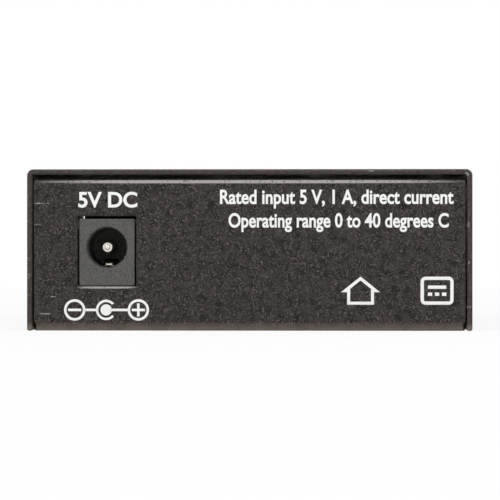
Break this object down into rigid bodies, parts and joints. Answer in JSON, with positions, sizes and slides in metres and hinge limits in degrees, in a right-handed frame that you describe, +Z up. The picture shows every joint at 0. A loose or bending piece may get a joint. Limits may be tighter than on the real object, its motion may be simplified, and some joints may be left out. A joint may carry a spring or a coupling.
{
  "type": "fibre media converter",
  "caption": "Small black steel box that links a copper network cable to optical fibre, with a round power inlet, a folded tray and cover, ports and setting switches.",
  "frame": {"origin": "middle of the underside", "axes": "+Z up, -Y out of the power side, +Y out of the port side, X across both"},
  "size_m": [0.073, 0.0943, 0.0265],
  "materials": {
    "tray_paint": "matte",
    "cover_paint": "matte",
    "black_screw": "satin",
    "nickel": "satin",
    "spring_steel": "satin",
    "standoff_steel": "satin",
    "board_laminate": "satin",
    "zinc_screw": "satin",
    "jack_plastic": "matte",
    "transceiver_plastic": "satin",
    "ceramic_sleeve": "satin",
    "latch_plastic": "satin",
    "tinned_lead": "satin",
    "shield_tin": "satin",
    "socket_plastic": "satin",
    "gold_wire": "gloss",
    "switch_plastic": "satin",
    "lever_plastic": "satin",
    "holder_plastic": "matte",
    "lamp_plastic": "gloss",
    "can_sleeve": "satin",
    "ferrite": "matte",
    "chip_epoxy": "matte",
    "crystal_can": "satin",
    "tan_ceramic": "satin",
    "black_ceramic": "satin"
  },
  "bodies": {
    "enclosure": {"chassis": "tray_paint", "top_cover": "cover_paint", "cover_screws": "black_screw", "board_standoffs": "standoff_steel", "circuit_board": "board_laminate", "board_screws": "zinc_screw", "dc_jack_housing": "jack_plastic", "dc_jack_pin": "nickel", "dc_jack_spring": "spring_steel", "dc_jack_terminals": "spring_steel", "fibre_transceiver_housing": "transceiver_plastic", "fibre_sleeve_1": "ceramic_sleeve", "fibre_sleeve_2": "ceramic_sleeve", "fibre_latches": "latch_plastic", "transceiver_leads": "tinned_lead", "rj45_shield": "shield_tin", "rj45_insert": "socket_plastic", "rj45_contacts": "gold_wire", "dip_switch_body": "switch_plastic", "dip_switch_leads": "tinned_lead", "led_holder": "holder_plastic", "indicator_leds": "lamp_plastic", "led_leads": "tinned_lead", "bulk_capacitors": "can_sleeve", "capacitor_leads": "tinned_lead", "power_coil": "ferrite", "regulator_body": "chip_epoxy", "regulator_leads": "tinned_lead", "converter_chip_body": "chip_epoxy", "converter_chip_leads": "tinned_lead", "transformer_body": "chip_epoxy", "transformer_leads": "tinned_lead", "memory_chip_body": "chip_epoxy", "memory_chip_leads": "tinned_lead", "crystal": "crystal_can", "chip_capacitors": "tan_ceramic", "chip_resistors": "black_ceramic"},
    "lever_1": {"dip_lever_1": "lever_plastic"},
    "lever_2": {"dip_lever_2": "lever_plastic"},
    "lever_3": {"dip_lever_3": "lever_plastic"},
    "lever_4": {"dip_lever_4": "lever_plastic"}
  },
  "joints": [
    {"name": "lever_1_slide", "type": "slide", "parent": "enclosure", "child": "lever_1", "axis": [0, 0, 1], "range_m": [0, 0.002]},
    {"name": "lever_2_slide", "type": "slide", "parent": "enclosure", "child": "lever_2", "axis": [0, 0, 1], "range_m": [0, 0.002]},
    {"name": "lever_3_slide", "type": "slide", "parent": "enclosure", "child": "lever_3", "axis": [0, 0, 1], "range_m": [0, 0.002]},
    {"name": "lever_4_slide", "type": "slide", "parent": "enclosure", "child": "lever_4", "axis": [0, 0, 1], "range_m": [0, 0.002]}
  ]
}
